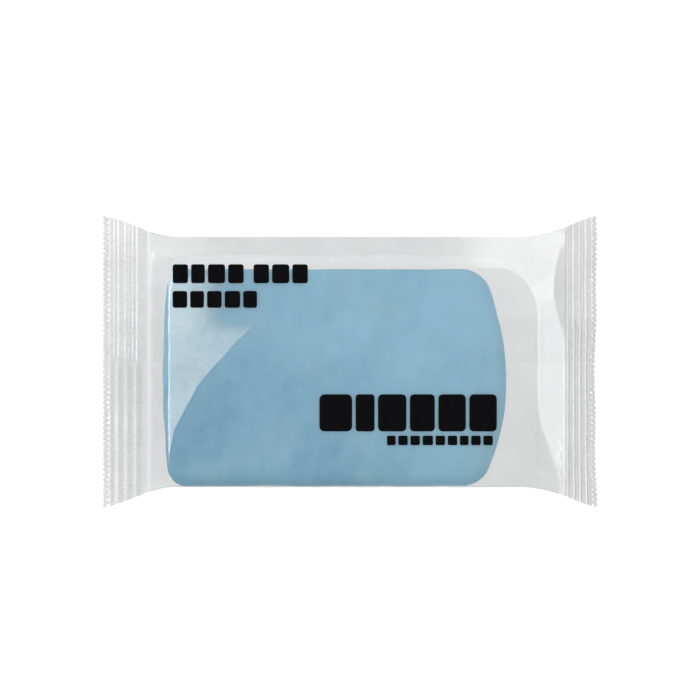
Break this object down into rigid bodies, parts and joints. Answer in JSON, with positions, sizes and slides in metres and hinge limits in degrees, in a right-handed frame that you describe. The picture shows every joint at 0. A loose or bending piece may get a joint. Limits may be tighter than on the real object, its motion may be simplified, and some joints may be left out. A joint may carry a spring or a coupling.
{
  "type": "flow wrapped clay bar",
  "caption": "Block of detailing clay sealed in a clear flow-wrap pouch with ribbed end seals that flex, a folded back fin and room for the bar to slide.",
  "frame": {"origin": "under the middle of the pack, on the surface that its back rests on", "axes": "+X along the pack from the left end seal to the right one, +Y across it towards the empty side of the sleeve, +Z out of the printed front"},
  "size_m": [0.1156, 0.0684, 0.0155],
  "materials": {
    "clay": "matte",
    "film": "gloss",
    "crimped_film": "gloss",
    "ink": "satin"
  },
  "bodies": {
    "wrapper": {"film_front_panel": "film", "film_back_panel_near": "film", "film_back_panel_far": "film", "fin_seal_inner_ply": "crimped_film", "fin_seal_outer_ply": "crimped_film", "title_print": "ink", "subtitle_print": "ink", "mark_print": "ink", "caption_print": "ink"},
    "bar": {"clay_bar": "clay"},
    "left_seal": {"left_seal_front_ply": "crimped_film", "left_seal_back_ply": "crimped_film", "left_seal_fin_tail": "crimped_film"},
    "right_seal": {"right_seal_front_ply": "crimped_film", "right_seal_back_ply": "crimped_film", "right_seal_fin_tail": "crimped_film"}
  },
  "joints": [
    {"name": "bar_shift", "type": "slide", "parent": "wrapper", "child": "bar", "axis": [1, 0, 0], "range_m": [0, 0.008]},
    {"name": "left_seal_fold", "type": "hinge", "parent": "wrapper", "child": "left_seal", "pos_m": [-0.047, 0, 0.007], "axis": [0, 1, 0], "range_deg": [-80, 80], "stiffness_Nm_per_rad": 0.001},
    {"name": "right_seal_fold", "type": "hinge", "parent": "wrapper", "child": "right_seal", "pos_m": [0.05032, 0, 0.0086], "axis": [0, -1, 0], "range_deg": [-33, 126], "stiffness_Nm_per_rad": 0.001}
  ]
}
